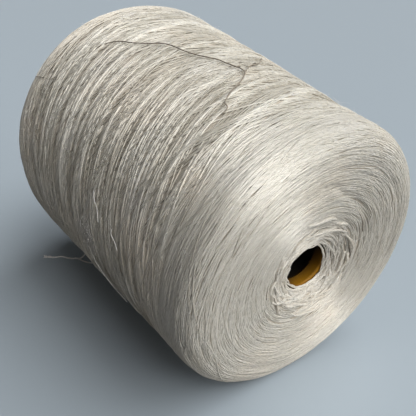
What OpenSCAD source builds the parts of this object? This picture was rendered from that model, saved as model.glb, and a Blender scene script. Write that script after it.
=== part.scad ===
// A large cone of silky waxed thread, lying on its side.
// It is thread cross-wound on a tapered plastic core. The core draws out of the wide end.
// Lengths are in millimetres. +X runs from the wide end to the nose, +Z is up,
// and the origin is on the floor under the middle of the package.

/* [Thread package] */
// Length of the wound thread, along its axis
yarn_len = 168.5; // [150:0.5:200]
// Largest radius of the package, near its wide end
yarn_r = 75; // [66:0.5:85]
// Angle between the side of the cone and its axis, in degrees
cone_angle = 5.95; // [4:0.05:6.5]
// How far the rounding of the wide end reaches along the axis
base_round_len = 25; // [15:0.5:32]
// How far the rounding of the wide end reaches inwards
base_round_r = 26; // [15:0.5:32]
// How far the rounding of the nose end reaches along the axis
nose_round_len = 9; // [5:0.5:14]
// How far the rounding of the nose end reaches inwards
nose_round_r = 10.5; // [6:0.5:16]
// How far the mouth at the nose lies below the rim of the nose end
dish_depth = 4.3; // [3:0.1:8]
// How sharply the nose end falls to the mouth: 1 is a straight cone
dish_curve = 2.2; // [1.2:0.1:3]
// Depth of the flat that the package is pressed to where it lies
lay_flat = 0.5; // [0.3:0.1:0.8]

/* [Thread] */
// Diameter of the thread
thread_d = 0.8; // [0.6:0.05:1]
// Turns of thread that are laid out over the package
outer_turns = 24; // [12:1:24]
// Distance of the first outer turn from the edge of the wide end, along the surface
first_turn = 12; // [8:0.5:20]
// Clear ring between the last outer turn and the loops at the mouth
loop_margin = 2.5; // [2:0.1:4]
// Loops of thread that have slumped round the mouth
mouth_turns = 6; // [3:1:6]
// Step from one slumped loop to the next
mouth_pitch = 1.6; // [1.5:0.05:2]
// How far the slumped loops wander in and out
mouth_wave = 0.5; // [0.2:0.05:0.6]
// Clearance between the innermost slumped loop and a mouth that laps over the core
loop_gap = 0.3; // [0.2:0.05:0.6]
// How far the slumped loops rise on their high side
mouth_rise = 1.6; // [0.5:0.1:2]

/* [Core] */
// Length of the plastic core
core_len = 174; // [160:0.5:190]
// How far the core stands out of the wide end
core_out = 11.5; // [8:0.5:14]
// Outer radius of the core at its nose
core_nose_r = 14.9; // [14:0.1:18]
// Wall of the core
core_wall = 1.8; // [1.2:0.1:2.5]
// Radius of the hole in the core's nose
nose_bore_r = 10; // [8:0.1:11]
// Length of the straight part of the hole in the nose
nose_land = 4; // [2:0.5:8]
// Rounding of the edge of the hole in the nose
nose_lip_r = 1; // [0.5:0.1:1.5]
// Rounding of the outside of the nose
nose_rim_r = 3.9; // [1:0.1:3.9]
// Radius of the straight hole in the base of the core
base_bore_r = 30; // [28:0.1:30.5]
// Length of the straight part of the hole in the base
base_land = 6; // [4:0.5:7]
// How far the bead round the core's base stands out
bead_h = 1.2; // [0.6:0.1:2]
// Width of the bead round the core's base
bead_w = 3; // [2:0.5:5]
// Clearance between the core and the thread wound on it
core_gap = 0.3; // [0.3:0.05:0.5]
// Clearance between the hole in the nose and the thread where it laps over the core
mouth_gap = 0.6; // [0.4:0.1:1]

/* [Loose strand] */
// Clearance between the loose strand and the turns that it lies on
strand_gap = 0.05; // [0.05:0.05:0.2]

/* [Hidden] */

thread_color = [0.87, 0.85, 0.81];
strand_color = [0.62, 0.60, 0.57];
core_color = [0.90, 0.62, 0.10];

round_steps = 12;
dish_steps = 14;
loop_rings = 24;
tube_sides = 6;
cord_sides = 8;
floor_gap = 0.1;
turn_gap = 0.05;
lip_min = 1;
channel_gap = 0.3;
channel_reach = 18;
channel_room = 1.1;

thread_r = thread_d / 2;
slope = tan(cone_angle);

// The package's outline. Each point is [distance along the axis, radius], and depth is how
// far the outline lies inside the outer surface.
base_mid_r = yarn_r - base_round_r;
base_end = 90 + atan(slope * base_round_len / base_round_r);
nose_start = atan(slope * nose_round_len / nose_round_r);

function base_arc(q, depth) =
    [base_round_len - (base_round_len - depth) * cos(q), base_mid_r + (base_round_r - depth) * sin(q)];

side_from = base_arc(base_end, 0);

// Radius of the straight side, carried on to any place on the axis.
function side_r(t) = side_from[1] + (side_from[0] - t) * slope;

nose_mid_t = yarn_len - nose_round_len;
nose_mid_r = side_r(nose_mid_t + nose_round_len * sin(nose_start)) - nose_round_r * cos(nose_start);

// The outer turns are straight between their rings, so the body lies this far inside them.
turn_sag = yarn_r * (1 - cos(180 / loop_rings));
body_depth = thread_d + turn_sag + turn_gap;

// The core, and the mouth of the thread at its nose. The thread goes round the core's nose,
// or laps over it where the core is short.
core_base_t = -core_out;
core_nose_t = core_len - core_out;
function core_r(t) = core_nose_r + (core_nose_t - t) * slope;
bore_gap = core_gap / cos(cone_angle);
bore_end_t = core_nose_t + core_gap;
mouth_t = yarn_len - dish_depth - body_depth;
lapped = bore_end_t + lip_min < mouth_t;
mouth_r = lapped ? nose_bore_r + mouth_gap : core_r(mouth_t) + bore_gap;

function nose_arc(q, depth) =
    [nose_mid_t + (nose_round_len - depth) * sin(q), nose_mid_r + (nose_round_r - depth) * cos(q)];

// Height of the nose end at a radius, measured along the axis.
function face_t(r) =
    yarn_len - dish_depth * pow(max(0, nose_mid_r - r) / (nose_mid_r - mouth_r), dish_curve);

function outline(depth) = concat(
    [for (i = [0:round_steps]) base_arc(base_end * i / round_steps, depth)],
    [for (i = [0:round_steps]) nose_arc(nose_start + (90 - nose_start) * i / round_steps, depth)],
    [for (i = [1:dish_steps])
        let (r = nose_mid_r + (mouth_r - nose_mid_r) * i / dish_steps) [face_t(r) - depth, r]]);

// How the package lies: its axis is tilted so that its straight side is level.
axis_height = (side_r(0) - body_depth) * cos(cone_angle) - lay_flat;
bead_r = core_r(core_base_t) + bead_h;
x_low = core_base_t * cos(cone_angle) - bead_r * sin(cone_angle);
x_high = max([for (p = outline(0)) p[0] * cos(cone_angle) + p[1] * sin(cone_angle)]);
x_base = -(x_low + x_high) / 2;

// A point from the package's own axes, where +Z runs along its axis from the wide end.
function laid(p) = [
    x_base + p[2] * cos(cone_angle) - p[0] * sin(cone_angle),
    p[1],
    axis_height - p[2] * sin(cone_angle) - p[0] * cos(cone_angle)];

module laid_down() {
    translate([x_base, 0, axis_height])
        rotate([0, 90 + cone_angle, 0])
            children();
}

// A tube along points, with a ring of corners round each and flat ends.
function unit(v) = v / norm(v);
function along(line, i) = unit(line[min(i + 1, len(line) - 1)] - line[max(i - 1, 0)]);
function ring(line, ups, i, radius, sides) =
    let (a = along(line, i), b = unit(cross(a, ups[i])), c = cross(b, a))
    [for (k = [0:sides - 1])
        line[i] + radius * (cos(360 * k / sides) * c + sin(360 * k / sides) * b)];

module tube(line, ups, radius, sides) {
    last = len(line) - 1;
    corners = [for (i = [0:last]) each ring(line, ups, i, radius, sides)];
    walls = [for (i = [0:last - 1], k = [0:sides - 1])
        let (a = i * sides + k, b = i * sides + (k + 1) % sides)
        each [[a, b, b + sides], [a, b + sides, a + sides]]];
    ends = [for (k = [1:sides - 2])
        each [[0, k + 1, k], [last * sides, last * sides + k, last * sides + k + 1]]];
    polyhedron(points = corners, faces = concat(walls, ends), convexity = 10);
}

// The least clear space between turns, measured on the points and halfway between them.
function halves(line) = [for (i = [0:len(line) - 2], s = [0, 0.5]) line[i] * (1 - s) + line[i + 1] * s];
function least_gap(line, diameter, skip) =
    let (h = halves(line))
    min([for (i = [0:len(h) - 1], j = [i + skip:min(len(h) - 1, i + 3 * loop_rings)])
        norm(h[i] - h[j])]) - diameter;

// Outer turns: one thread that winds at a steady step from the wide end to the mouth.
turn_line = outline(thread_r);
function run(line, i) = i == 0 ? 0 : norm(line[i] - line[i - 1]) + run(line, i - 1);
turn_t = [for (i = [0:len(turn_line) - 1]) [run(turn_line, i), turn_line[i][0]]];
turn_r = [for (i = [0:len(turn_line) - 1]) [run(turn_line, i), turn_line[i][1]]];
loop_inner_r = (lapped ? mouth_r + loop_gap : nose_bore_r + nose_lip_r) + mouth_wave + thread_r;
loops_end_r = loop_inner_r + mouth_turns * mouth_pitch;
last_turn_r = loops_end_r + loop_margin + thread_d;
last_run = max([for (p = turn_r) p[0]]) - (last_turn_r - mouth_r) * 1.02;
turn_rings = outer_turns * loop_rings;
turn_step = (last_run - first_turn) / outer_turns;

function turn_run(i) = first_turn + turn_step * i / loop_rings;
function turn_spot(i) =
    let (s = turn_run(i), q = 360 * i / loop_rings, r = lookup(s, turn_r))
    laid([r * cos(q), r * sin(q), lookup(s, turn_t)]);
function off_floor(p) = [p[0], p[1], max(p[2], thread_r + floor_gap)];
function straight_ends(line) = concat(
    [line[0] - (line[1] - line[0]) * thread_d / norm(line[1] - line[0])],
    line,
    [line[len(line) - 1] + along(line, len(line) - 1) * thread_d]);

turn_points = straight_ends([for (i = [0:turn_rings]) off_floor(turn_spot(i))]);
turn_ups = [for (p = turn_points) let (c = laid([0, 0, yarn_len / 2])) p - [p[0], c[1], c[2]]];

// Slumped loops: a thread that spirals out from the hole in the core, over the core's nose and on
// over the body, higher on one side.
function core_top(r) =
    core_nose_t - nose_rim_r + sqrt(max(0, pow(nose_rim_r, 2) - pow(max(0, r - core_nose_r + nose_rim_r), 2)));
function loop_spot(i) =
    let (q = 360 * i / loop_rings,
         r = loop_inner_r + mouth_pitch * i / loop_rings + mouth_wave * sin(3 * q + 40),
         bed = max(face_t(r) - body_depth, core_top(r) + core_gap),
         rise = mouth_rise * (0.5 + 0.5 * cos(q - 215)))
    laid([r * cos(q), r * sin(q), bed + thread_d + rise]);
loop_points = straight_ends([for (i = [0:mouth_turns * loop_rings]) loop_spot(i)]);
loop_ups = [for (p = loop_points) laid([0, 0, 2 * yarn_len]) - p];

// Route of the loose strand: [distance along the axis, angle round it from straight down].
strand_route = [
    [21, 234], [30, 232], [38, 230], [39, 226], [40, 221], [42, 217], [45, 213], [47, 208],
    [54, 204], [62, 201], [69, 197], [75, 193], [86, 191], [93, 189], [100, 186], [108, 184],
    [115, 183], [120, 187], [124, 193], [127, 198], [129, 200], [132, 201], [133, 204]];
strand_r = thread_r;
strand_lift = strand_r + strand_gap;
function on_side(t, q, lift) =
    let (r = min(side_r(t), t < side_from[0]
        ? base_mid_r + base_round_r * sqrt(1 - pow((base_round_len - t) / base_round_len, 2))
        : side_r(t)) + lift)
    laid([r * cos(q), r * sin(q), t]);

// Route of the free end of thread: it hangs from the underside and lies along the floor.
tail_route = [
    [-49, -41.5, 12.3], [-49, -42, 9.5], [-48.8, -43, 6], [-48.8, -44, 3], [-49.2, -45.5, 1.2],
    [-50.2, -47.2, 0.5], [-52, -49, 0.5], [-55, -51, 0.5], [-59.5, -53, 0.5], [-62, -56, 0.5],
    [-64.5, -58.5, 0.5], [-68, -61, 0.5], [-70, -65.5, 0.5], [-74, -70.5, 0.5]];

// A smooth line through points that were chosen by hand.
function bend(a, b, c, d, s) = 0.5 * (2 * b + (c - a) * s + (2 * a - 5 * b + 4 * c - d) * s * s
    + (3 * b - a - 3 * c + d) * s * s * s);
function smooth(line, steps) =
    let (n = len(line) - 1)
    concat([for (i = [0:n - 1], k = [0:steps - 1])
        bend(line[max(i - 1, 0)], line[i], line[i + 1], line[min(i + 2, n)], k / steps)], [line[n]]);

strand_spots = smooth(strand_route, 2);
strand_points = [for (p = strand_spots) on_side(p[0], p[1], strand_lift)];
strand_ups = [for (p = strand_points) p - laid([0, 0, yarn_len / 2])];
tail_points = [for (p = smooth(tail_route, 2)) off_floor(p)];
tail_ups = [for (p = tail_points) [0.3, -0.6, 1]];

echo("outer turns: least gap to itself", least_gap(turn_points, thread_d, 8));
echo("mouth loops: least gap to itself", least_gap(loop_points, thread_d, 8));

// The plastic core: a thin cone with a rolled rim at its nose and a bead at its base.
module cone_core() {
    land_from = core_nose_t - nose_lip_r - nose_land;
    throat_t = land_from - (core_r(land_from) - core_wall - nose_bore_r) * 0.8;
    rim = [for (q = [0:15:90])
        [core_r(core_nose_t) - nose_rim_r + nose_rim_r * cos(q), core_nose_t - nose_rim_r + nose_rim_r * sin(q)]];
    lip = [for (q = [90:-15:0])
        [nose_bore_r + nose_lip_r * (1 - cos(q)), core_nose_t - nose_lip_r * (1 - sin(q))]];
    bead = [for (q = [0:15:180])
        let (t = core_base_t + bead_w / 2 * (1 - cos(q))) [core_r(t) + bead_h * sin(q), t]];
    outer = concat(bead, [[core_r(core_nose_t - nose_rim_r), core_nose_t - nose_rim_r]], rim);
    inner = [
        [nose_bore_r, land_from],
        [core_r(throat_t) - core_wall, throat_t],
        [core_r(core_base_t + base_land) - core_wall, core_base_t + base_land + 1],
        [base_bore_r, core_base_t + base_land],
        [base_bore_r, core_base_t]];
    color(core_color)
        laid_down()
            rotate_extrude($fn = 96)
                polygon(concat(outer, lip, inner));
}

// The thread inside the outer turns: a crowned, tapered body with a conical bore.
module thread_body() {
    outer = outline(body_depth);
    channel_w = thread_d + 2 * channel_gap + turn_step * 2 * channel_reach / (2 * PI * yarn_r);
    channel_h = thread_d + channel_room;
    color(thread_color)
        difference() {
            laid_down()
                rotate_extrude($fn = 128)
                    polygon(concat(
                        [[core_r(outer[0][0]) + bore_gap, outer[0][0]]],
                        [for (p = outer) [p[1], p[0]]],
                        lapped ? [[mouth_r, bore_end_t], [core_r(bore_end_t) + bore_gap, bore_end_t]] : []));
            translate([-yarn_len, -yarn_r, -yarn_r])
                cube([2 * yarn_len, 2 * yarn_r, yarn_r]);
            // Each outer turn passes under the package in a channel of its own.
            for (k = [0:outer_turns]) {
                spot = turn_spot(k * loop_rings);
                if (spot[2] < channel_h)
                    translate([spot[0] - channel_w / 2, -yarn_r / 2, -1])
                        cube([channel_w, yarn_r, channel_h + 1]);
            }
        }
}

// The outer turns of the thread.
module outer_turns_thread() {
    color(thread_color)
        tube(turn_points, turn_ups, thread_r, tube_sides);
}

// Loops of thread that have slumped round the mouth.
module mouth_loops() {
    color(thread_color)
        tube(loop_points, loop_ups, thread_r, tube_sides);
}

// A slack strand that lies over the upper side.
module slack_strand() {
    color(strand_color)
        tube(strand_points, strand_ups, strand_r, cord_sides);
}

// The free end of the thread, which hangs from the side and lies on the floor.
module thread_tail() {
    color(thread_color)
        tube(tail_points, tail_ups, thread_r, cord_sides);
}

cone_core();
thread_body();
outer_turns_thread();
mouth_loops();
slack_strand();
thread_tail();
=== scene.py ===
import math

import bpy
import numpy as np
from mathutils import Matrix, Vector


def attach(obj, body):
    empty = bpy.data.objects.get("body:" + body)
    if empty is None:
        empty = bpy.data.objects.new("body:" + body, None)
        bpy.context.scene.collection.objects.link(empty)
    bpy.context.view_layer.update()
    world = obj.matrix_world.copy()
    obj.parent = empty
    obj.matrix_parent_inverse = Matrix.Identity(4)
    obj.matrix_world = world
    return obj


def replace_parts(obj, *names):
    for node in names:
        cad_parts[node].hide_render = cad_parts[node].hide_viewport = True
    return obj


# A large cone of silky waxed thread on a tapered plastic core, lying on its side.
# Lengths are metres and angles are radians, unless a name says otherwise.
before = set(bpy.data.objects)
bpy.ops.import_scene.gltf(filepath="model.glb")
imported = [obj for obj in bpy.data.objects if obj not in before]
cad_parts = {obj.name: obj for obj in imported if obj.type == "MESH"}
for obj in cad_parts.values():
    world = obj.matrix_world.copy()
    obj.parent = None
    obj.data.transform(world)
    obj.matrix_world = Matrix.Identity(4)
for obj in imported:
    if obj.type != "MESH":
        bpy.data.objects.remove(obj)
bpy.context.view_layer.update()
scene = bpy.context.scene
mm = 0.001
tau = 2 * math.pi
threadR = 0.4 * mm   # radius of the thread where it is loose
woundR = 0.3 * mm    # and where it is drawn tight at the ends
floorTouch = 0.05 * mm   # how far above the floor the lowest thread lies

view = dict(
    place=(0.186456, -0.116223, 0.165771),
    azimuth=math.radians(56.45),   # from +Y towards -X
    down=math.radians(28.12),
    lens=39.03,
    sensor=36.0,
    clip=(0.01, 60),
)


def makeCamera(v):
    data = bpy.data.cameras.new("camera")
    data.lens, data.sensor_width = v["lens"], v["sensor"]
    data.clip_start, data.clip_end = v["clip"]
    cam = bpy.data.objects.new("camera", data)
    scene.collection.objects.link(cam)
    ahead = Vector((-math.sin(v["azimuth"]) * math.cos(v["down"]),
                    math.cos(v["azimuth"]) * math.cos(v["down"]), -math.sin(v["down"])))
    cam.location = v["place"]
    cam.rotation_mode = "QUATERNION"
    cam.rotation_quaternion = ahead.to_track_quat("-Z", "Y")
    scene.camera = cam


makeCamera(view)
print("camera made")


def unit(v):
    return v / np.maximum(np.linalg.norm(v, axis=-1, keepdims=True), 1e-12)


# The distance from the start of each line to each of its points.
def distances(p):
    steps = np.cumsum(np.linalg.norm(np.diff(p, axis=-2), axis=-1), -1)
    return np.concatenate([np.zeros_like(steps[..., :1]), steps], -1)


# A smooth line through route points: each span is a Catmull-Rom cubic, cut into equal steps.
def smoothLine(route, steps):
    p = np.asarray(route, float)
    padded = np.vstack([p[:1], p, p[-1:]])
    a, b, c, d = (padded[i:len(p) - 1 + i, None] for i in range(4))
    s = (np.arange(steps) / steps)[None, :, None]
    cubic = 0.5 * (2 * b + (c - a) * s + (2 * a - 5 * b + 4 * c - d) * s ** 2
                   + (3 * b - a - 3 * c + d) * s ** 3)
    return np.vstack([cubic.reshape(-1, p.shape[1]), p[-1:]])


# Noise along lines: random values every `wave` steps, joined by a cubic ease. Its range is -1 to 1.
def lineNoise(rng, lines, count, wave):
    knots = int(math.ceil(count / wave)) + 2
    values = rng.uniform(-1, 1, (lines, knots))
    x = np.arange(count)[None, :] / wave + rng.random((lines, 1))
    i = np.floor(x).astype(int)
    f = x - i
    f = f * f * (3 - 2 * f)
    low, high = np.take_along_axis(values, i, 1), np.take_along_axis(values, i + 1, 1)
    return low * (1 - f) + high * f


# Corners evenly round a thread.
def roundCorners(sides):
    return tau / 4 + tau * np.arange(sides) / sides


# Corners for a thread that lies on others: a round top and a flat underside.
beddedCorners = np.radians((-25, 50, 130, 205))


# Tubes along many lines at once. A ring of corners is set across each point: a corner at the angle
# a is p + width cos(a) side + height sin(a) up. points is [line, place, xyz]. The UV map runs in
# metres along the thread and in turns round it, and `shade` says how light each place is.
def tubes(name, points, ups, width, height=None, corners=beddedCorners, *, shade, material):
    p = np.asarray(points, float)
    p = p[None] if p.ndim == 2 else p
    lines, count = p.shape[:2]
    sides, a = len(corners), np.asarray(corners)
    ups = np.broadcast_to(np.asarray(ups, float), p.shape)
    width, height = (np.broadcast_to(np.asarray(size, float), (lines, count))[..., None, None]
                     for size in (width, width if height is None else height))
    ahead = unit(np.gradient(p, axis=1))
    side = unit(np.cross(ahead, ups))
    up = np.cross(side, ahead)
    rings = (p[:, :, None] + width * np.cos(a)[:, None] * side[:, :, None]
             + height * np.sin(a)[:, None] * up[:, :, None])
    corner = np.arange(lines * count * sides).reshape(lines, count, sides)
    here, there = corner[:, :-1], corner[:, 1:]
    quads = np.stack([here, there, np.roll(there, -1, 2), np.roll(here, -1, 2)], -1).reshape(-1)
    caps = np.concatenate([corner[:, 0], corner[:, -1, ::-1]]).reshape(-1)
    quadCount, capCount = lines * (count - 1) * sides, 2 * lines
    starts = np.concatenate([4 * np.arange(quadCount), 4 * quadCount + sides * np.arange(capCount)])
    mesh = bpy.data.meshes.new(name)
    mesh.vertices.add(rings.size // 3)
    mesh.vertices.foreach_set("co", rings.reshape(-1))
    mesh.loops.add(len(quads) + len(caps))
    mesh.loops.foreach_set("vertex_index", np.concatenate([quads, caps]).astype(np.int32))
    mesh.polygons.add(len(starts))
    mesh.polygons.foreach_set("loop_start", starts.astype(np.int32))
    run = np.broadcast_to(distances(p)[..., None], (lines, count, sides))
    around = np.broadcast_to(a / tau, (lines, count, sides))
    further = np.broadcast_to(np.append(a[1:], a[0] + tau) / tau, (lines, count, sides))
    u = np.stack([run[:, :-1], run[:, 1:], run[:, 1:], run[:, :-1]], -1).reshape(-1)
    v = np.stack([around[:, :-1], around[:, 1:], further[:, 1:], further[:, :-1]], -1)
    capUv = np.stack([np.concatenate([run[:, 0], run[:, -1]]).reshape(-1),
                      np.concatenate([around[:, 0], around[:, -1, ::-1]]).reshape(-1)], -1)
    uv = np.concatenate([np.stack([u, v.reshape(-1)], -1), capUv])
    mesh.uv_layers.new(name="alongThread").data.foreach_set("uv", uv.reshape(-1).astype(np.float32))
    mesh.update(calc_edges=True)
    tone = np.repeat(np.broadcast_to(shade, (lines, count)).reshape(-1), sides)
    mesh.attributes.new("shade", "FLOAT", "POINT").data.foreach_set("value", tone.astype(np.float32))
    mesh.shade_smooth()
    return onPackage(addObject(name, mesh, material))


def addObject(name, mesh, material):
    obj = bpy.data.objects.new(name, mesh)
    scene.collection.objects.link(obj)
    mesh.materials.append(material)
    return obj


# A piece of the wound package, or of something that lies on it.
def onPackage(piece):
    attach(piece, "package")
    return piece


def newMaterial(name, **values):
    mat = bpy.data.materials.new(name)
    mat.use_nodes = True
    shader = mat.node_tree.nodes["Principled BSDF"]
    for socket, value in values.items():
        shader.inputs[socket.replace("_", " ")].default_value = value
    return mat, mat.node_tree, shader


def node(tree, kind, links=(), **settings):
    n = tree.nodes.new(kind)
    for key, value in settings.items():
        setattr(n, key, value)
    for socket, source in dict(links).items():
        if isinstance(source, bpy.types.NodeSocket):
            tree.links.new(source, n.inputs[socket])
        else:
            n.inputs[socket].default_value = source
    return n


# Links sources to a node's sockets, whose names have _ for a space.
def feed(n, **sources):
    for socket, source in sources.items():
        n.id_data.links.new(source, n.inputs[socket.replace("_", " ")])


# The nodes used most often: each function gives back its node's result.
def maths(tree, operation, *values, **settings):
    return node(tree, "ShaderNodeMath", dict(enumerate(values)), operation=operation, **settings).outputs[0]


def vectors(tree, operation, *values):
    result = "Value" if operation in ("DOT_PRODUCT", "LENGTH") else "Vector"
    return node(tree, "ShaderNodeVectorMath", dict(enumerate(values)), operation=operation).outputs[result]


def mapRange(tree, value, fromMin, fromMax, toMin=0.0, toMax=1.0):
    return node(tree, "ShaderNodeMapRange", {"Value": value, "From Min": fromMin, "From Max": fromMax,
                                             "To Min": toMin, "To Max": toMax}).outputs["Result"]


def blend(tree, share, first, second):
    return node(tree, "ShaderNodeMix", {"Factor": share, 6: first, 7: second}, data_type="RGBA").outputs[2]


def noise(tree, place, scale, detail):
    values = {"Vector": place, "Scale": scale, "Detail": detail}
    return node(tree, "ShaderNodeTexNoise", values).outputs["Fac"]


def bumps(tree, height, strength, distance):
    values = {"Height": height, "Strength": strength, "Distance": distance}
    return node(tree, "ShaderNodeBump", values).outputs["Normal"]


def newGroup(name, inputs, outputs):
    group = bpy.data.node_groups.new(name, "ShaderNodeTree")
    for label, kind, value in inputs:
        socket = group.interface.new_socket(label, in_out="INPUT", socket_type="NodeSocket" + kind)
        socket.default_value = value
    for label, kind in outputs:
        group.interface.new_socket(label, in_out="OUTPUT", socket_type="NodeSocket" + kind)
    return group, group.nodes.new("NodeGroupInput"), group.nodes.new("NodeGroupOutput")


# The twist's own values: the finer filaments' noise and height, and how wide a groove is.
twistLook = dict(pitch=3.5 * mm, plies=3.0, filaments=(5.0, 2.0), filamentHeight=0.35, groove=0.35)


# Plies twisted round each other: a wave over (distance / pitch + place round the thread), with
# finer filaments over it. Height is for a bump and Groove is 1 between two plies.
def twistGroup(look):
    inputs = [("Pitch", "Float", look["pitch"]), ("Plies", "Float", look["plies"])]
    group, given, out = newGroup("plyTwist", inputs, [("Height", "Float"), ("Groove", "Float")])
    uv = node(group, "ShaderNodeUVMap", uv_map="alongThread")
    xy = node(group, "ShaderNodeSeparateXYZ", {"Vector": uv.outputs["UV"]})
    turns = maths(group, "DIVIDE", xy.outputs["X"], given.outputs["Pitch"])
    lead = maths(group, "ADD", turns, xy.outputs["Y"])
    phase = maths(group, "MULTIPLY", lead, given.outputs["Plies"])
    wave = maths(group, "SINE", maths(group, "MULTIPLY", phase, math.pi))
    ply = maths(group, "ABSOLUTE", wave)
    stretch = node(group, "ShaderNodeCombineXYZ", {"X": turns, "Y": phase})
    hairs = noise(group, stretch.outputs[0], *look["filaments"])
    height = maths(group, "MULTIPLY_ADD", hairs, look["filamentHeight"], ply)
    groove = mapRange(group, ply, 0.0, look["groove"], 1.0, 0.0)
    feed(out, Height=height, Groove=groove)
    return group


# Natural thread: its lightest and darkest shade, and patches of a warm and a cool tint, by the
# scale and detail of their noise and where in its range they begin and are full.
natural = dict(
    light=(0.86, 0.832, 0.755, 1), dark=(0.405, 0.373, 0.31, 1),
    warm=(0.80, 0.72, 0.61, 1), cool=(0.71, 0.69, 0.645, 1),
    warmPatches=(28.0, 2.0, 0.5, 0.72), coolPatches=(47.0, 1.0, 0.5, 0.75),
    patch=0.5,          # how strong the patches are
    # painted shade in the grooves between the plies
    paintedGrooveShade=0.35,    # how much darker a groove is
)


# Natural thread colour: each thread has a shade of its own, patches drift to a warm and a cool
# tint over some centimetres, and painted shade darkens the grooves between the plies.
def tintGroup(c):
    group, given, out = newGroup(
        "threadTint",
        [("Light", "Color", c["light"]), ("Dark", "Color", c["dark"]), ("Warm", "Color", c["warm"]),
         ("Cool", "Color", c["cool"]), ("Patch", "Float", c["patch"]), ("Groove", "Float", 0.0)],
        [("Color", "Color")])
    shade = node(group, "ShaderNodeAttribute", attribute_name="shade")
    colour = blend(group, shade.outputs["Fac"], given.outputs["Dark"], given.outputs["Light"])
    place = node(group, "ShaderNodeTexCoord").outputs["Object"]
    for label, (scale, detail, begin, full) in (("Warm", c["warmPatches"]), ("Cool", c["coolPatches"])):
        patches = mapRange(group, noise(group, place, scale, detail), begin, full)
        share = maths(group, "MULTIPLY", patches, given.outputs["Patch"])
        colour = blend(group, share, colour, given.outputs[label])
    # painted shade: a groove between two plies is darkened
    grooveShadeFactor = maths(group, "MULTIPLY_ADD", given.outputs["Groove"], -c["paintedGrooveShade"], 1.0)
    withPaintedGrooveShade = node(group, "ShaderNodeVectorMath", {0: colour, "Scale": grooveShadeFactor}, operation="SCALE")
    feed(out, Color=withPaintedGrooveShade.outputs[0])
    return group


plyTwist, threadTint = twistGroup(twistLook), tintGroup(natural)


# What each kind of thread looks like: how far one twist goes, how deep it is, its gloss and colours.
finishes = dict(
    silk=dict(pitch=9 * mm, bump=0.08 * mm, roughness=0.46, sheen=0.04, metallic=0.22, along=0.84),
    # slack: dark colours, painted shadow: the slack strand is a real thread, and its darkness is the shadow
    # it casts
    slack=dict(pitch=3 * mm, bump=0.10 * mm, roughness=0.6, sheen=0.1, metallic=0.0,
               Light=(0.34, 0.30, 0.25, 1), Dark=(0.22, 0.19, 0.155, 1), Warm=(0.32, 0.25, 0.19, 1),
               Cool=(0.28, 0.26, 0.24, 1)),
    # matte: its brown Dark is also the colour of the painted shade at the edges of the mouth's locks
    matte=dict(pitch=6 * mm, bump=0.08 * mm, roughness=0.5, sheen=0.2, metallic=0.1,
               Dark=(0.54, 0.47, 0.38, 1)),
    loose=dict(pitch=3 * mm, bump=0.10 * mm, roughness=0.45, sheen=0.7, metallic=0.0,
               Light=(0.96, 0.94, 0.90, 1), Dark=(0.84, 0.82, 0.77, 1)),
)


# `along` is how much narrower the gloss is along the thread than across it.
def threadMaterial(name, pitch, bump, roughness, sheen, metallic, along=0.5, **tints):
    mat, tree, shader = newMaterial(name, Roughness=roughness, Sheen_Weight=sheen, Sheen_Roughness=0.35,
                                    Specular_IOR_Level=0.5, Metallic=metallic, Subsurface_Weight=0.15,
                                    Subsurface_Scale=0.8 * mm, Subsurface_Radius=(1.0, 0.85, 0.65),
                                    Anisotropic=along, Anisotropic_Rotation=0.25)
    lie = node(tree, "ShaderNodeTangent", direction_type="UV_MAP", uv_map="alongThread")
    twist = node(tree, "ShaderNodeGroup", node_tree=plyTwist)
    twist.inputs["Pitch"].default_value = pitch
    tint = node(tree, "ShaderNodeGroup", node_tree=threadTint)
    for label, value in tints.items():
        tint.inputs[label].default_value = value
    feed(tint, Groove=twist.outputs["Groove"])
    feed(shader, Tangent=lie.outputs["Tangent"], Base_Color=tint.outputs["Color"],
         Normal=bumps(tree, twist.outputs["Height"], 0.6, bump))
    return mat


silk = threadMaterial("silkyThread", **finishes["silk"])
slackThread = threadMaterial("slackThread", **finishes["slack"])
looseThread = threadMaterial("looseThread", **finishes["loose"])
matteThread = threadMaterial("matteThread", **finishes["matte"])

deepLook = dict(
    lines=(60, 1400, 1),       # how many specks of noise go round the package and along its outline
    detail=3.0,
    # colours darker than the outer thread's: painted shade for the gaps between the outer threads
    dark=(0.42, 0.37, 0.30, 1), light=(0.68, 0.62, 0.53, 1),
    begin=0.35, full=0.65,     # where in the range of the noise it is dark and light
    bump=0.4 * mm,
)


# Deep layers of thread: fine lines that run round the axis, from noise stretched along them, in
# colours darker than the outer thread's, which paint shade into the gaps between the outer threads.
def deepMaterial(look):
    mat, tree, shader = newMaterial("deepThread", Roughness=0.6, Sheen_Weight=0.2, Specular_IOR_Level=0.3)
    uv = node(tree, "ShaderNodeUVMap", uv_map="roundAndAlong")
    spread = node(tree, "ShaderNodeMapping", {"Vector": uv.outputs["UV"], "Scale": look["lines"]})
    lines = noise(tree, spread.outputs[0], 1.0, look["detail"])
    colour = node(tree, "ShaderNodeValToRGB", {"Fac": lines})
    dark, light = colour.color_ramp.elements
    dark.color, dark.position = look["dark"], look["begin"]
    light.color, light.position = look["light"], look["full"]
    feed(shader, Base_Color=colour.outputs["Color"], Normal=bumps(tree, lines, 0.8, look["bump"]))
    return mat


deepThread = deepMaterial(deepLook)
print("thread materials made")

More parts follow.
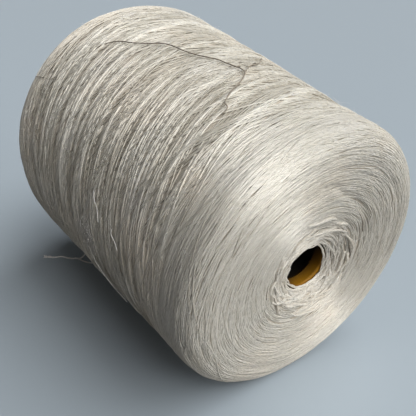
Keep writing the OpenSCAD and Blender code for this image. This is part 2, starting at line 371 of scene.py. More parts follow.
# The tail's routes are x, y and z in millimetres.
tail = dict(
    route=[(-49, -41.5, 12.3), (-49, -42, 9.5), (-48.8, -43, 6), (-48.8, -44, 3), (-49.2, -45.5, 1.2),
           (-50.2, -47.2, 0.5), (-52, -49, 0.5), (-55, -51, 0.5), (-59.5, -53, 0.5), (-62, -56, 0.5),
           (-64.5, -58.5, 0.5), (-68, -61, 0.5), (-70, -65.5, 0.5), (-74, -70.5, 0.5)],
    fork=[(-61.4, -54.6, 0.9), (-57.6, -52.6, 1.8), (-53.8, -51.2, 5), (-50.6, -50.2, 9),
          (-48.2, -49.5, 13), (-47, -49, 16.5)],
    lowest=0.5 * mm,
    up=(0.3, -0.6, 1.0),         # a direction that the tail never runs along
    plies=3, plyR=0.25 * mm, plyPitch=4 * mm,
    plyOut=0.27 * mm,            # from the middle of the tail to the middle of a ply
    plyStep=0.5 * mm,
    fray=(9 * mm, 1.5 * mm),     # the last part of the tail comes apart, and how far
    untwist=0.6,                 # how much of its twist is gone at the end
    seed=31,
)


# Plies wound round a line: each is the line moved by a turning offset. Over the frayed part it
# grows, and the plies wander and turn less.
def plyLines(line, t, rng):
    run = distances(line)
    fine = np.linspace(0, run[-1], int(run[-1] / t["plyStep"]))
    p = np.stack([np.interp(fine, run, line[:, i]) for i in range(3)], -1)
    ahead = unit(np.gradient(p, axis=0))
    side = unit(np.cross(ahead, t["up"]))
    up = np.cross(side, ahead)
    frayLen, frayOut = t["fray"]
    loose = np.clip((fine - run[-1] + frayLen) / frayLen, 0, 1)[None] ** 1.5
    share = np.arange(t["plies"])[:, None] / t["plies"]
    turn = tau * (fine[None] / t["plyPitch"] * (1 - t["untwist"] * loose) + share)
    out = t["plyOut"] + frayOut * loose * (0.6 + 0.4 * lineNoise(rng, t["plies"], len(fine), 9))
    lines = p + out[..., None] * (np.cos(turn)[..., None] * side + np.sin(turn)[..., None] * up)
    lines[..., 2] = np.maximum(lines[..., 2], t["plyR"] + floorTouch)
    return lines


def makePlies(name, line, t, rng):
    return tubes(name, plyLines(line, t, rng), t["up"], t["plyR"], corners=roundCorners(6), shade=0.95,
                 material=looseThread)


def makeTail(t):
    rng = np.random.default_rng(t["seed"])
    line = smoothLine(np.array(t["route"]) * mm, 6)
    line[:, 2] = np.maximum(line[:, 2], t["lowest"])
    piece = tubes("threadTail", line, t["up"], threadR, corners=roundCorners(8), shade=0.9,
                  material=looseThread)
    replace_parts(piece, "thread_tail")
    plies = makePlies("tailPlies", line, t, rng)
    fork = makePlies("tailFork", smoothLine(np.array(t["fork"]) * mm, 6), t, rng)


makeTail(tail)
print("tail made")

cone = dict(
    yarnLen=168.5 * mm,      # length of the wound thread along its axis
    yarnR=75 * mm,           # largest radius, near the wide end
    halfAngle=math.radians(5.95),
    baseRound=(25 * mm, 26 * mm),    # rounding of the wide end, along the axis and inwards
    noseRound=(9 * mm, 10.5 * mm),   # the same at the nose
    # how far the face is sunk, at what radius, and the power of its curve
    dish=(4.3 * mm, 15.18 * mm, 2.2),
    mouthR=10.9 * mm,            # where the face ends, over the core's rim
    axisHeight=75.3334 * mm,     # of the middle of the wide end above the floor
    xBase=-78.9576 * mm,
    coreNose=(162.5 * mm, 14.9 * mm),    # where the core's nose ends along the axis, and its radius
    coreRim=3.9 * mm,            # rounding of its rim
    boreGap=0.3 * mm,            # between the core and the thread on it
    steps=(79, 160, 120, 200),   # points on the flat end, each rounding and the face
    evenSteps=2000,              # and on the whole outline, once they are evenly spaced
)
slope = math.tan(cone["halfAngle"])


def coreR(t):
    return cone["coreNose"][1] + (cone["coreNose"][0] - t) * slope


# Height of the core's rounded rim at a radius: a quarter of a circle, and flat inside it.
def coreTop(r):
    (noseT, noseR), rim = cone["coreNose"], cone["coreRim"]
    return noseT - rim + np.sqrt(np.maximum(0, rim ** 2 - np.maximum(0, r - noseR + rim) ** 2))


# The outline from the bore at the wide end to the mouth at the nose, as distance along the
# axis t and radius r: a flat end, a quarter of an ellipse, a straight side, another quarter of an
# ellipse, then a power curve that falls to the mouth.
def outlineTable(c):
    (bl, br), (nl, nr) = c["baseRound"], c["noseRound"]
    flat, base, nose, face = c["steps"]
    baseMidR = c["yarnR"] - br
    baseEnd = math.pi / 2 + math.atan(slope * bl / br)
    noseStart = math.atan(slope * nl / nr)
    q = np.linspace(0, baseEnd, base)
    baseT, baseR = bl - bl * np.cos(q), baseMidR + br * np.sin(q)
    noseMidT = c["yarnLen"] - nl
    sideR = baseR[-1] + (baseT[-1] - (noseMidT + nl * math.sin(noseStart))) * slope
    noseMidR = sideR - nr * math.cos(noseStart)
    q = np.linspace(noseStart, math.pi / 2, nose)
    noseT, noseR = noseMidT + nl * np.sin(q), noseMidR + nr * np.cos(q)
    faceR = np.linspace(noseMidR, c["mouthR"], face)[1:]
    dishDepth, dishEnd, dishCurve = c["dish"]
    faceT = c["yarnLen"] - dishDepth * ((noseMidR - faceR) / (noseMidR - dishEnd)) ** dishCurve
    endR = np.linspace(coreR(0) + c["boreGap"], baseMidR, flat + 1)[:-1]
    t = np.concatenate([np.zeros(flat), baseT, noseT, faceT])
    r = np.concatenate([endR, baseR, noseR, faceR])
    run = np.concatenate([[0], np.cumsum(np.hypot(np.diff(t), np.diff(r)))])
    even = np.linspace(0, run[-1], c["evenSteps"])
    t, r = np.interp(even, run, t), np.interp(even, run, r)
    dt, dr = np.gradient(t, even), np.gradient(r, even)
    long = np.hypot(dt, dr)
    marks = dict(flatEnd=run[flat], baseEnd=run[flat + base - 1], noseStart=run[flat + base],
                 noseEnd=run[flat + base + nose - 1], mouth=run[-1])
    return even, t, r, -dr / long, dt / long, marks


runs, outT, outR, outNt, outNr, marks = outlineTable(cone)
print("outline marks in mm:", {k: round(v / mm, 1) for k, v in marks.items()})


# From the cone's own axes (x down, z along the axis from the wide end) to the scene's.
def laid(x, y, z):
    c, s = math.cos(cone["halfAngle"]), math.sin(cone["halfAngle"])
    return np.stack([cone["xBase"] + z * c - x * s, y + 0 * x, cone["axisHeight"] - z * s - x * c], -1)


coneStart = laid(0.0, 0.0, 0.0)
axisAhead = laid(0.0, 0.0, 1.0) - coneStart


# A place on the package: `run` goes along the outline and `angle` round the axis from straight
# down. The result is the point, lifted by `lift`, and the outward direction.
def onCone(run, angle, lift, radius=woundR):
    t, r = np.interp(run, runs, outT), np.interp(run, runs, outR)
    nt, nr = np.interp(run, runs, outNt), np.interp(run, runs, outNr)
    t, r = t + lift * nt, r + lift * nr
    p = laid(r * np.cos(angle), r * np.sin(angle), t)
    n = laid(nr * np.cos(angle), nr * np.sin(angle), nt) - coneStart
    p[..., 2] = np.maximum(p[..., 2], radius + floorTouch)
    return p, n


# A place on the nose's face by its radius, also over the hole, where it is as high as at the mouth.
def onFace(radius, angle, lift):
    face = runs > marks["noseEnd"]
    t = np.interp(-radius, -outR[face], outT[face])
    t = np.maximum(t, coreTop(radius) + woundR) + lift
    return laid(radius * np.cos(angle), radius * np.sin(angle), t)


def runAt(t):
    side = (runs > marks["flatEnd"]) & (runs < marks["noseEnd"])
    return np.interp(t, outT[side], runs[side])


amber = dict(
    thick=(0.25, 0.11, 0.004, 1), thin=(0.32, 0.155, 0.008, 1), cloud=(60.0, 3.0),
    gloss=0.14, scuffs=(900.0, 4.0), roughness=(0.42, 0.58), scuffDepth=0.05 * mm,
    # painted shadow: the dark colour that the inside of the tube is blended towards
    shadow=(0.022, 0.018, 0.014, 1),     # the colour of the inside where it is dark
    innerWall=0.9 * mm,                  # how far within the outside the inner wall begins
    # where the painted shade inside begins and is full, along the axis, and where it ends, back from the
    # nose
    middle=(50 * mm, 110 * mm), past=(9 * mm, 2 * mm),
    # the lip's side with painted shade: the angle of its middle, and where the shade begins and is full,
    # towards that side and back from the nose
    lipSide=math.radians(215), lip=(-9 * mm, -1 * mm), nose=(30 * mm, 12 * mm),
)


# Moulded amber plastic, cloudy and scuffed. Painted shade darkens the inside from before the lip to
# the tube's middle, and the lip on one side. t runs along the axis and r across it, and the inner wall
# is where r + slope * t is less than on the outside.
def coreMaterial(c):
    mat, tree, shader = newMaterial("amberPlastic", IOR=1.49, Specular_IOR_Level=c["gloss"])
    noseT = cone["coreNose"][0]
    side = laid(math.cos(c["lipSide"]), math.sin(c["lipSide"]), 0.0) - coneStart
    place = node(tree, "ShaderNodeTexCoord").outputs["Object"]
    colour = blend(tree, noise(tree, place, *c["cloud"]), c["thick"], c["thin"])
    off = vectors(tree, "SUBTRACT", place, tuple(coneStart))
    t = vectors(tree, "DOT_PRODUCT", off, tuple(axisAhead))
    r = vectors(tree, "LENGTH", vectors(tree, "CROSS_PRODUCT", off, tuple(axisAhead)))
    inner = maths(tree, "LESS_THAN", maths(tree, "MULTIPLY_ADD", t, slope, r), coreR(0) - c["innerWall"])
    past = mapRange(tree, t, noseT - c["past"][0], noseT - c["past"][1], 1.0, 0.0)
    depth = maths(tree, "MULTIPLY", mapRange(tree, t, *c["middle"]), past)
    lip = mapRange(tree, vectors(tree, "DOT_PRODUCT", off, tuple(side)), *c["lip"])
    nose = mapRange(tree, t, noseT - c["nose"][0], noseT - c["nose"][1])
    # painted shade: how far each place of the inner wall is darkened towards the shadow colour
    under = maths(tree, "ADD", depth, maths(tree, "MULTIPLY", lip, nose), use_clamp=True)
    withPaintedShade = blend(tree, maths(tree, "MULTIPLY", inner, under), colour, c["shadow"])
    scuffs = noise(tree, place, *c["scuffs"])
    feed(shader, Base_Color=withPaintedShade, Roughness=mapRange(tree, scuffs, 0.3, 0.7, *c["roughness"]),
         Normal=bumps(tree, scuffs, 0.15, c["scuffDepth"]))
    return mat


def repaint(obj, mat):
    obj.data.materials.clear()
    obj.data.materials.append(mat)


repaint(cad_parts["cone_core"], coreMaterial(amber))
print("core painted")


relief = dict(
    seed=7,
    grid=(180, 500),       # round the package and along the outline
    swell=0.22 * mm,       # height of the swells, of which the small and the broad ones have a share
    small=dict(share=0.35, blur=(4.0, 1.8)),
    broad=dict(share=0.6, blur=(9.0, 9.0)),
    bundle=0.13 * mm,      # height of the bundles of thread that cross the side
    bundleBlur=(4.5, 1.7),
    bundleEnd=(2 * mm, 16 * mm),    # where past the side the bundles end, and over what length they fade
    slant=10 * mm,         # how far a bundle moves along the cone in a radian
    gather=0.25 * mm,      # how far threads are drawn into a bundle
    # a furrow in the face: its radius in millimetres at angles in degrees, its depth and width, and
    # over how many degrees past its ends it fades
    furrow=dict(route=((102, 28), (131, 31), (170, 35.5), (185, 42.4)),
                depth=0.7 * mm, width=1.8 * mm, fade=8),
)


# Smooth noise on a grid that closes round the package: random values blurred by a Gaussian in
# the frequency domain, then scaled to a spread of 1.
def fieldNoise(rng, shape, blur):
    white = rng.standard_normal(shape)
    f0, f1 = np.fft.fftfreq(shape[0])[:, None], np.fft.fftfreq(shape[1])[None]
    soft = np.fft.ifft2(np.fft.fft2(white) * np.exp(-2 * (math.pi * f0 * blur[0]) ** 2
                                                    - 2 * (math.pi * f1 * blur[1]) ** 2)).real
    return soft / soft.std()


def readField(field, run, angle):
    a = (angle / tau % 1) * field.shape[0]
    b = np.clip(run / marks["mouth"], 0, 0.9999) * (field.shape[1] - 1)
    i, j = np.floor(a).astype(int) % field.shape[0], np.floor(b).astype(int)
    f, g = a - np.floor(a), b - j
    k, l = (i + 1) % field.shape[0], j + 1
    return (field[i, j] * (1 - f) * (1 - g) + field[k, j] * f * (1 - g)
            + field[i, l] * (1 - f) * g + field[k, l] * f * g)


reliefRng = np.random.default_rng(relief["seed"])
smallField = fieldNoise(reliefRng, relief["grid"], relief["small"]["blur"])
broadField = fieldNoise(reliefRng, relief["grid"], relief["broad"]["blur"])
bundleField = fieldNoise(reliefRng, relief["grid"], relief["bundleBlur"])


# Where threads lie in bundles on the side: noise that slants along the cone and fades at the nose.
def bundles(run, angle):
    past, fade = relief["bundleEnd"]
    share = np.clip((marks["noseStart"] + past - run) / fade, 0.0, 1)
    return share * readField(bundleField, run - relief["slant"] * (angle % tau - math.pi), angle)


# Height of the surface over the outline: two sizes of noise, and a Gaussian furrow in the face.
def swells(run, angle):
    f = relief["furrow"]
    degrees, radius = np.array(f["route"], float).T
    here = np.degrees(angle) % 360
    off = np.interp(run, runs, outR) - np.interp(here, degrees, radius) * mm
    inside = np.minimum(here - degrees[0], degrees[-1] - here)
    ends = np.clip((inside + f["fade"]) / (2 * f["fade"]), 0, 1)
    furrow = f["depth"] * ends * np.exp(-(off / f["width"]) ** 2) * (run > marks["noseEnd"])
    return (relief["swell"] * relief["small"]["share"] * readField(smallField, run, angle)
            + relief["swell"] * relief["broad"]["share"] * readField(broadField, run, angle)
            + relief["bundle"] * bundles(run, angle) - furrow)


deep = dict(
    depth=0.8 * mm, faceDepth=0.36 * mm,    # below the outline, on the side and on the face
    points=(150, 30, 12),      # of the profile: along the outline, along the bore and round the core's rim
    around=240,
    lowest=0.25 * mm,
    rimEnd=math.radians(75),   # how far it laps over the core's rim
    pastNose=1 * mm,           # from here on out it needn't clear the rim
    fade=6 * mm,               # over what length the swells rise from the ends
)


# A solid ring: its profile goes along the outline at the depth of the deep layers, round the
# core's rim and back along the bore, and is carried round the axis. The grid closes both ways.
def makeDeepLayers(d):
    outlineSteps, boreSteps, rimSteps = d["points"]
    keep = np.linspace(0, len(runs) - 1, outlineSteps).astype(int)
    depth = np.interp(runs[keep], (marks["noseStart"], marks["noseEnd"]), (d["depth"], d["faceDepth"]))
    t, r = outT[keep] - depth * outNt[keep], outR[keep] - depth * outNr[keep]
    (noseT, noseR), rim, gap = cone["coreNose"], cone["coreRim"], cone["boreGap"]
    clear = (t > coreTop(r) + 1.5 * gap) | (r > noseR + d["pastNose"])
    t, r, keep = t[clear], r[clear], keep[clear]
    boreT = np.linspace(noseT - rim + gap, t[0], boreSteps)
    boreR = coreR(boreT) + gap
    r[0] = boreR[-1]
    q = np.linspace(math.asin((r[-1] - noseR + rim) / (rim + gap)), d["rimEnd"], rimSteps)[1:]
    profileT = np.concatenate([t, noseT - rim + (rim + gap) * np.cos(q), boreT[:-1]])
    profileR = np.concatenate([r, noseR - rim + (rim + gap) * np.sin(q), boreR[:-1]])
    a = np.linspace(0, tau, d["around"], endpoint=False)
    share = np.clip(np.minimum(runs[keep] - runs[keep[0]], marks["mouth"] - runs[keep]) / d["fade"], 0, 1)
    rise = np.zeros((len(profileT), len(a), 2))
    rise[:len(keep)] = ((share[:, None] * swells(runs[keep][:, None], a))[..., None]
                        * np.stack([outNt, outNr], -1)[keep, None])
    height, r = profileT[:, None] + rise[..., 0], profileR[:, None] + rise[..., 1]
    p = laid(r * np.cos(a), r * np.sin(a), height)
    p[..., 2] = np.maximum(p[..., 2], d["lowest"])
    rows, cols = p.shape[:2]
    index = np.arange(rows * cols).reshape(rows, cols)
    down, over = np.roll(index, -1, 0), np.roll(index, -1, 1)
    faces = np.stack([index, over, np.roll(down, -1, 1), down], -1).reshape(-1, 4)
    mesh = bpy.data.meshes.new("deepLayers")
    mesh.from_pydata(p.reshape(-1, 3).tolist(), [], faces.tolist())
    u = np.broadcast_to(np.arange(cols) / cols, (rows, cols))
    v = np.broadcast_to((np.arange(rows) / rows)[:, None], (rows, cols))
    uv = np.stack([np.stack([u, u + 1 / cols, u + 1 / cols, u], -1),
                   np.stack([v, v, v + 1 / rows, v + 1 / rows], -1)], -1)
    mesh.uv_layers.new(name="roundAndAlong").data.foreach_set("uv", uv.reshape(-1).astype(np.float32))
    mesh.shade_smooth()
    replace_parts(onPackage(addObject("deepLayers", mesh, deepThread)), "thread_body")


makeDeepLayers(deep)
print("deep layers made")

winding = dict(
    seed=11,
    cycles=200,                # there and back
    turnsPerCycle=2.5 + (math.sqrt(5) - 1) / 2,   # so that each pass falls in the widest gap that is left
    radius=0.36 * mm, flat=0.75,    # half its width, and its height as a share of that
    step=0.040,                # angle from one point to the next
    wideTurn=(marks["flatEnd"] + 3 * mm, marks["baseEnd"] + 4 * mm),   # where it turns back at the wide end
    noseTurn=(marks["noseStart"] - 8 * mm, marks["noseEnd"] + 4 * mm),
    turnError=0.004,           # how early or late it turns back, in passes
    ease=7,                    # over how many points on either side a turn is eased
    depth=(0.7 * mm, 1.3),     # of the first layer below the last, and the power of its curve
    # noise, by its amount and the points in a wave: how far the thread strays along the cone, how
    # it rises and falls over others, and its shade, with painted light on the bundles and painted shade
    # between them
    drift=(0.5 * mm, 23),
    ripple=0.24 * mm, crossings=((1, 4.6), (0.7, 9)),
    shade=0.56, slowShade=(0.18, 60), quickShade=(0.14, 4), bundleLightAndShade=0.2,
    pieces=6,
)


# One thread, wound from end to end and back. Its place along the outline is a zigzag between
# random turning places, eased by a running mean, and its angle grows evenly.
def makeWinding(w):
    rng = np.random.default_rng(w["seed"])
    passes = 2 * w["cycles"]
    wide = rng.uniform(*w["wideTurn"], passes // 2 + 1)
    nose = rng.uniform(*w["noseTurn"], passes // 2 + 1)
    corners = np.stack([wide, nose], -1).reshape(-1)[:passes + 1]
    turns = np.arange(passes + 1) + rng.uniform(-w["turnError"], w["turnError"], passes + 1)
    turnAngle = tau * w["turnsPerCycle"] / 2 * turns
    angle = np.arange(0, turnAngle[-1], w["step"])
    run = np.interp(angle, turnAngle, corners)
    soften = np.hanning(2 * w["ease"] + 1)
    run = np.convolve(np.pad(run, w["ease"], mode="edge"), soften / soften.sum(), mode="valid")
    count = len(angle)

    def wander(amount, wave):
        return amount * lineNoise(rng, 1, count, wave)[0]

    run = run + wander(*w["drift"])
    uphill = bundles(run + 0.6 * mm, angle) - bundles(run - 0.6 * mm, angle)
    run = run + relief["gather"] * np.clip(uphill, -1.5, 1.5)
    deepest, curve = w["depth"]
    layer = -deepest * (1 - np.arange(count) / count) ** curve
    often, seldom = w["crossings"]
    crossing = wander(*often) + wander(*seldom)
    points, ups = onCone(run, angle, layer + swells(run, angle) + w["ripple"] * crossing - w["radius"])
    shade = w["shade"] + wander(*w["slowShade"]) + wander(*w["quickShade"])
    # painted light on the raised bundles and painted shade in the gaps between them
    shade = np.clip(shade + w["bundleLightAndShade"] * bundles(run, angle), 0, 1)
    cuts = np.linspace(0, count - 1, w["pieces"] + 1).astype(int)
    for i, (first, last) in enumerate(zip(cuts[:-1], cuts[1:])):
        part = slice(first, last + 1)
        piece = tubes(f"woundThread{i + 1}", points[part], ups[part], w["radius"], w["flat"] * w["radius"],
                      shade=shade[part], material=silk)
        if i == 0:
            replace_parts(piece, "outer_turns_thread")
    print("wound thread:", count, "points")


makeWinding(winding)

# Where a pass turns back, the thread shows as a long arc that rises out of the end and dips in again.
arcs = dict(
    seed=23,
    radius=0.25 * mm,
    points=23,
    dip=1.6 * mm,              # how far the ends of an arc are sunk
    under=0.18 * mm,           # the lowest arcs lie this far under the highest
    half=(18 * mm, 36 * mm),   # half their length where the package is wider than fullFrom
    fullFrom=36 * mm,
    looseFrom=9 * mm,          # how far from the mouth the arcs begin to stray and wobble more
    tilt=0.08, bend=0.9,       # how much an arc runs along the outline, and its bend in millimetres
    stray=0.15 * mm, wobble=0.08 * mm,
    shade=(0.55, 0.92), looseShade=0.3, ownShade=0.12,
    # how many, between where along the outline, and over what length they thin out at either end
    nose=dict(name="noseArcs", pieces=3, count=2850, fade=16 * mm, fadeOut=0.1 * mm,
              between=(marks["noseStart"] - 20 * mm, marks["mouth"] - 0.4 * mm)),
    wide=dict(name="wideArcs", pieces=2, count=1700, fade=0.1 * mm, fadeOut=14 * mm,
              between=(0.6 * mm, marks["baseEnd"] + 6 * mm)),
)


# Arcs round the axis. Their places along the outline follow the golden ratio, so that they cover
# the end evenly; x runs from -1 to 1 along an arc, and its ends sink by dip times x to the sixth.
def makeArcs(a, zone, rng):
    low, high = zone["between"]
    n, k = zone["count"], a["points"]
    spots = np.linspace(low, high, 400)
    fade = np.clip((spots - low) / zone["fade"], 0, 1) * np.clip((high - spots) / zone["fadeOut"], 0, 1)
    weight = np.cumsum(np.interp(spots, runs, outR) * fade)
    share = (np.arange(n) * (math.sqrt(5) - 1) / 2 + rng.uniform(0, 0.002, n)) % 1
    run = np.interp(share, weight / weight[-1], spots)[:, None]
    radius = np.interp(run, runs, outR)
    half = rng.uniform(*a["half"], (n, 1)) * np.clip(radius / a["fullFrom"], 0.35, 1)
    x = np.linspace(-1, 1, k)[None]
    tilt = rng.uniform(-a["tilt"], a["tilt"], (n, 1))
    bend = rng.uniform(-a["bend"], a["bend"], (n, 1)) * mm
    loose = np.clip(1.6 - (radius - cone["mouthR"]) / a["looseFrom"], 0, 1)     # 1 near the mouth
    place = run + x * half * tilt * (1 + 1.5 * loose) + bend * x ** 2
    place = place + a["stray"] * (1 + 2 * loose) * lineNoise(rng, n, k, 3)
    place = np.clip(place, low - 0.5 * mm, min(high + 6 * mm, marks["mouth"] - 0.2 * mm))
    angle = rng.uniform(0, tau, (n, 1)) + x * half / np.maximum(radius, 9 * mm)
    lift = swells(place, angle) * 0.8 - a["dip"] * x ** 6 - a["under"] * rng.random((n, 1))
    lift = lift + a["wobble"] * (1 + 2.5 * loose) * lineNoise(rng, n, k, 2.5)
    points, ups = onCone(place, angle, lift - 0.5 * a["radius"], a["radius"])
    shade = rng.uniform(*a["shade"], (n, 1)) - a["looseShade"] * loose * rng.random((n, 1))
    shade = np.clip(shade + a["ownShade"] * lineNoise(rng, n, k, 4), 0, 1)
    for i, part in enumerate(np.array_split(np.arange(n), zone["pieces"])):
        tubes(f"{zone['name']}{i + 1}", points[part], ups[part], a["radius"], shade=shade[part],
              material=silk)


arcRng = np.random.default_rng(arcs["seed"])
makeArcs(arcs, arcs["nose"], arcRng)
makeArcs(arcs, arcs["wide"], arcRng)
print("arcs made")

mouth = dict(
    seed=5, loops=13, points=170,
    # the ragged edge of the mouth: its radius in millimetres at angles in degrees
    edge=((0, 10.1), (30, 10.8), (55, 11.3), (80, 9.5), (120, 9.0), (140, 9.5), (160, 10.3),
          (185, 9.9), (205, 11.1), (222, 12.0), (236, 11.8), (251, 9.6), (290, 9.6), (323, 9.1),
          (347, 9.9), (360, 10.1)),
    rounded=10.5 * mm,         # the radius of the edge that the outer loops follow
    roundedBy=7,               # over how many loops the edge gets rounder
    pitch=0.55 * mm,
    # in millimetres: how far the first loop strays and how much further the fifth does, and how
    # ragged a loop is and how much more so on the high side
    stray=(0.15, 0.5), ragged=(0.2, 0.4),
    highSide=math.radians(222), rise=0.9 * mm, wobble=0.35 * mm,
)
# Locks of loose thread that lie round the mouth.
locks = dict(
    seed=17, count=84, points=34,
    strands=6, radius=0.22 * mm, apart=0.36 * mm,    # threads in a lock, their radius and their spacing
    between=(11.6 * mm, 25 * mm),    # the radii where they lie, most of them close to the mouth
    long=(9 * mm, 20 * mm), tilt=0.4,
    wave=0.75 * mm, ownWave=0.12 * mm,    # how far a lock winds to and fro, and a thread within it
    lift=0.75 * mm, waveLift=0.25 * mm, ownLift=0.08 * mm,
    highSide=0.7,              # how much higher they stand on the mouth's high side
    hollow=0.6 * mm,           # how far their ends sink
)


# Loops that have slumped round the mouth. Each follows the edge, one pitch further out, with more
# noise, and the inner ones stand up on the high side.
def makeMouth(m):
    rng = np.random.default_rng(m["seed"])
    n, count = m["loops"], m["points"]
    a = np.linspace(0, tau, count)[None] + rng.uniform(0, tau, (n, 1))
    k = np.arange(n)[:, None]
    degrees, edge = np.array(m["edge"], float).T
    edge = np.interp(np.degrees(a) % 360, degrees, edge) * mm
    radius = m["rounded"] + (edge - m["rounded"]) * np.exp(-k / m["roundedBy"]) + woundR + m["pitch"] * k
    (stray, strayMore), (ragged, raggedMore) = m["stray"], m["ragged"]
    radius = radius + (stray + strayMore * np.minimum(1, k / 4)) * mm * lineNoise(rng, n, count, 12)
    high = np.clip(np.cos(a - m["highSide"]), 0, 1) ** 1.5
    radius = radius + (ragged + raggedMore * high) * mm * lineNoise(rng, n, count, 5)
    lift = m["rise"] * high * np.clip(k / 3 - 0.2, 0, 1) * np.exp(-k / 6)
    lift = lift + m["wobble"] * lineNoise(rng, n, count, 9) * (0.3 + high)
    points = onFace(radius, a, lift)
    shade = np.clip(0.75 + 0.3 * lineNoise(rng, n, count, 20), 0, 1)
    piece = tubes("mouthLoops", points, axisAhead, woundR, corners=roundCorners(6), shade=shade,
                  material=matteThread)
    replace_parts(piece, "mouth_loops")


# A lock goes round the axis in waves. Its threads lie side by side over a round back, and its ends
# sink into the face.
def makeLocks(g):
    rng = np.random.default_rng(g["seed"])
    n, k, strands = g["count"], g["points"], g["strands"]
    low, high = g["between"]

    def perLock(values):
        return np.repeat(values, strands, 0)

    start = low + (high - low) * perLock(rng.random((n, 1))) ** 1.5
    beside = np.tile(np.linspace(-1, 1, strands), n)[:, None]
    x = np.linspace(-1, 1, k)[None]
    waves = perLock(lineNoise(rng, n, k, 11) + 0.3 * lineNoise(rng, n, k, 6))
    own = lineNoise(rng, n * strands, k, 7)
    pinch = 0.6 + 0.4 * perLock(lineNoise(rng, n, k, 9))
    width = g["apart"] * (strands - 1) / 2
    tilt = perLock(rng.uniform(-g["tilt"], g["tilt"], (n, 1)))
    half = perLock(rng.uniform(*g["long"], (n, 1))) / 2
    radius = start + beside * width * pinch + g["wave"] * waves + g["ownWave"] * own + tilt * x * half
    radius = np.maximum(radius, low + 0.5 * mm * np.abs(own))
    a = perLock(rng.uniform(0, tau, (n, 1))) + x * half / start
    height = perLock(rng.uniform(0.25, 1, (n, 1))) * g["lift"]
    height = height * (1 + g["highSide"] * np.clip(np.cos(a - mouth["highSide"]), 0, 1))
    lift = height * (1 - 0.6 * beside ** 2) * (1 - x ** 2) + g["waveLift"] * waves + g["ownLift"] * own
    lift = lift - g["hollow"] * x ** 8
    # painted shade: the threads at a lock's edges, which lie lower, are darker by beside squared
    shade = np.clip(0.85 - 0.35 * beside ** 2 + 0.25 * own - 0.3 * perLock(rng.random((n, 1))), 0, 1)
    points = onFace(radius, a, lift)
    tubes("mouthLocks", points, axisAhead, g["radius"], corners=roundCorners(5), shade=shade,
          material=matteThread)


makeMouth(mouth)
makeLocks(locks)
print("mouth made")

# The route is distance along the axis in millimetres, angle from straight down in degrees, and
# how far the strand lies over the surface in millimetres: it passes under the outer threads once.
slack = dict(
    route=[(21, 234, 0.2), (30, 232, 0.2), (36, 230.5, 0.1), (39, 226, -0.8), (40, 221, -1.0),
           (42, 217, -1.0), (45, 213, -1.0), (47, 208, -0.6), (54, 204, 0.5), (62, 201, 0.6),
           (69, 197, 0.6), (75, 193, 0.6), (86, 191, 0.6), (93, 189, 0.6), (100, 186, 0.6),
           (108, 184, 0.6), (115, 183, 0.7), (120, 187, 0.6), (124, 193, 0.6), (127, 198, 0.6),
           (129, 200, 0.6), (132, 201, 0.6), (133, 204, 0.6)],
    branch=[(115.6, 183.0, 0.6), (111, 177.7, 0.6), (109, 173, 0.5), (104, 168, 0.5), (99, 164, 0.4)],
    radius=0.26 * mm, branchR=0.75 * 0.26 * mm,
    thin=((40, 54), (0.5, 1)),    # its radius grows from a half to the whole between these distances
)
# Short dark threads that lie in the face: their routes are radius in millimetres and angle in degrees.
faceStrokes = dict(
    routes=[[(30.5, 150), (29.2, 130), (28.3, 113)], [(23.0, 280), (22.4, 292), (21.2, 305)]],
    sunk=0.1 * mm, radius=0.25 * mm,
)


def makeStrand(name, route, radius):
    line = smoothLine(route, 5)
    run, angle = runAt(line[:, 0] * mm), np.radians(line[:, 1])
    points, ups = onCone(run, angle, line[:, 2] * mm + np.maximum(0, swells(run, angle)))
    width = radius * np.interp(line[:, 0], *slack["thin"])
    # the slack thread's dark colours paint the strand's shadow onto the strand itself
    return tubes(name, points, ups, width, corners=roundCorners(8), shade=0.6,
                 material=slackThread)


def makeFaceStrokes(f):
    lines = np.stack([smoothLine(route, 8) for route in f["routes"]])
    points = onFace(lines[..., 0] * mm, np.radians(lines[..., 1]), -f["sunk"])
    tubes("faceStrokes", points, axisAhead, f["radius"], corners=roundCorners(6),
          shade=0.3, material=slackThread)


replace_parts(makeStrand("slackStrand", slack["route"], slack["radius"]), "slack_strand")
makeStrand("slackBranch", slack["branch"], slack["branchR"])
makeFaceStrokes(faceStrokes)
print("slack strand made")

# Fine hairs all over, and a few loose ends of thread on the lower side. A loose end's route is as
# the slack strand's.
fluff = dict(
    seed=41, hairs=420, points=8, hairR=0.04 * mm, long=(3 * mm, 9 * mm), high=(0.3 * mm, 2.2 * mm),
    around=(math.radians(95), math.radians(275)),    # the angles between which the hairs are spread
    # tufts: distance along the axis, angle and number of hairs, and how far they spread
    tufts=((100, 273, 150), (98.5, 269, 60), (60, 262, 14)), tuftSpread=(1.2 * mm, 0.02),
    endR=0.16 * mm,
    ends=[[(93.5, 269.0, 0.6), (95.5, 266.7, 1.6), (97.5, 264.5, 2.2), (99.5, 262.2, 2.6)],
          [(118, 258.8, -0.4), (119.5, 260, 0.7), (123, 261.5, 0.9), (126, 263, 1.4)],
          [(100.5, 251.8, -0.3), (104, 254, 0.8), (107.5, 256, 1.0), (110, 260, 1.2)],
          [(97.5, 277, 0.3), (104, 282, 1.1), (112, 287, 1.2), (123, 291, 0.8)],
          [(95.5, 280, 0.5), (98.5, 276.5, 1.2), (101.5, 272.5, 1.8), (103.5, 269.5, 2.2)]],
)


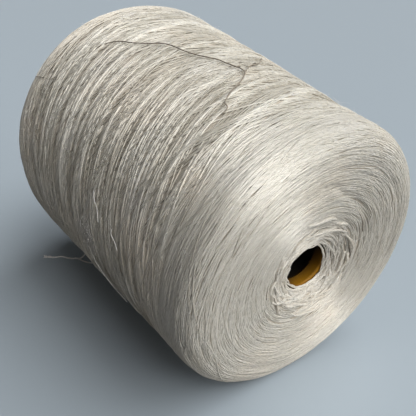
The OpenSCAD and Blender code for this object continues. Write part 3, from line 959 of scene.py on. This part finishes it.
def makeFluff(f):
    rng = np.random.default_rng(f["seed"])
    k = f["points"]
    run = rng.uniform(marks["flatEnd"], marks["mouth"] - 6 * mm, f["hairs"])
    angle = rng.uniform(*f["around"], f["hairs"])
    alongSpread, angleSpread = f["tuftSpread"]
    for t, degrees, number in f["tufts"]:
        run = np.append(run, runAt(t * mm) + rng.normal(0, alongSpread, number))
        angle = np.append(angle, math.radians(degrees) + rng.normal(0, angleSpread, number))
    n = len(run)
    x = np.linspace(0, 1, k)[None]
    heading = rng.normal(0, 0.7, (n, 1)) + 0.5 * np.cumsum(lineNoise(rng, n, k, 3), 1)
    long = rng.uniform(*f["long"], (n, 1)) * rng.choice((-1, 1), (n, 1))
    step = long / k
    radius = np.interp(run, runs, outR)[:, None]
    place = run[:, None] + np.cumsum(step * np.sin(heading), 1)
    around = angle[:, None] + np.cumsum(step * np.cos(heading), 1) / radius
    lift = rng.uniform(*f["high"], (n, 1)) * x ** 1.3 - 0.1 * mm
    points, ups = onCone(place, around, lift)
    tubes("fineHairs", points, ups, f["hairR"] * (1 - 0.5 * x), corners=roundCorners(3), shade=1.0,
          material=looseThread)
    lines = np.stack([smoothLine(route, 6) for route in f["ends"]])
    points, ups = onCone(runAt(lines[..., 0] * mm), np.radians(lines[..., 1]), lines[..., 2] * mm)
    tubes("looseEnds", points, ups, f["endR"], corners=roundCorners(6), shade=1.0, material=looseThread)


makeFluff(fluff)
print("fluff made")

# The floor's colour as it is seen, and the darker one that it throws back.
floor = dict(half=18.0, colour=(0.345, 0.405, 0.46, 1), bounce=(0.12, 0.125, 0.13, 1))
daylight, warmLight = (1.0, 0.99, 0.97), (1.0, 0.985, 0.96)
# Far lights: the direction each shines from, how wide it looks in degrees, its strength and
# colour, and whether it is for matte (diffuse) and glossy reflection.
lights = dict(
    window=dict(towards=(0.27, 0.54, 0.79), spread=60, strength=3.05, colour=daylight, glossy=False),
    fill=dict(towards=(0.90, 0.42, 0.13), spread=40, strength=1.55, colour=daylight, glossy=False),
    key=dict(towards=(0.66, 0.0, 0.75), spread=24, strength=0.85, colour=warmLight),
    gleam=dict(towards=(0.66, 0.0, 0.75), spread=40, strength=1.1, colour=warmLight, matte=False),
    gleamSide=dict(towards=(0.80, -0.25, 0.55), spread=22, strength=1.5, colour=warmLight, matte=False),
    gleamFront=dict(towards=(0.92, -0.38, 0.08), spread=90, strength=1.3, colour=warmLight, matte=False),
)
# The room's own light, and the pale wall behind that only the camera sees.
room = dict(colour=(1.0, 0.98, 0.95, 1), strength=0.065, wall=(0.36, 0.42, 0.48, 1))


def makeFloor(f):
    mesh = bpy.data.meshes.new("floor")
    corners = [(x * f["half"], y * f["half"], 0) for x, y in ((-1, -1), (1, -1), (1, 1), (-1, 1))]
    mesh.from_pydata(corners, [], [(0, 1, 2, 3)])
    mat, tree, shader = newMaterial("paleFloor", Roughness=0.8)
    ray = node(tree, "ShaderNodeLightPath")
    feed(shader, Base_Color=blend(tree, ray.outputs["Is Camera Ray"], f["bounce"], f["colour"]))
    addObject("floor", mesh, mat)


def makeLight(name, towards, spread, strength, colour, matte=True, glossy=True):
    data = bpy.data.lights.new(name, "SUN")
    data.angle, data.energy, data.color = math.radians(spread), strength, colour
    lamp = bpy.data.objects.new(name, data)
    scene.collection.objects.link(lamp)
    lamp.rotation_mode = "QUATERNION"
    lamp.rotation_quaternion = Vector(towards).to_track_quat("Z", "Y")
    lamp.visible_diffuse, lamp.visible_glossy = matte, glossy


def makeRoom(r):
    world = bpy.data.worlds.new("room")
    scene.world = world
    world.use_nodes = True
    tree = world.node_tree
    dim = tree.nodes["Background"]
    dim.inputs["Color"].default_value, dim.inputs["Strength"].default_value = r["colour"], r["strength"]
    wall = node(tree, "ShaderNodeBackground", {"Color": r["wall"], "Strength": 1.0})
    ray = node(tree, "ShaderNodeLightPath")
    seen = node(tree, "ShaderNodeMixShader", {0: ray.outputs["Is Camera Ray"], 1: dim.outputs[0],
                                              2: wall.outputs[0]})
    feed(tree.nodes["World Output"], Surface=seen.outputs[0])
    scene.view_settings.view_transform = "Standard"


makeFloor(floor)
for name, values in lights.items():
    makeLight(name, **values)
makeRoom(room)
print("floor and light made")
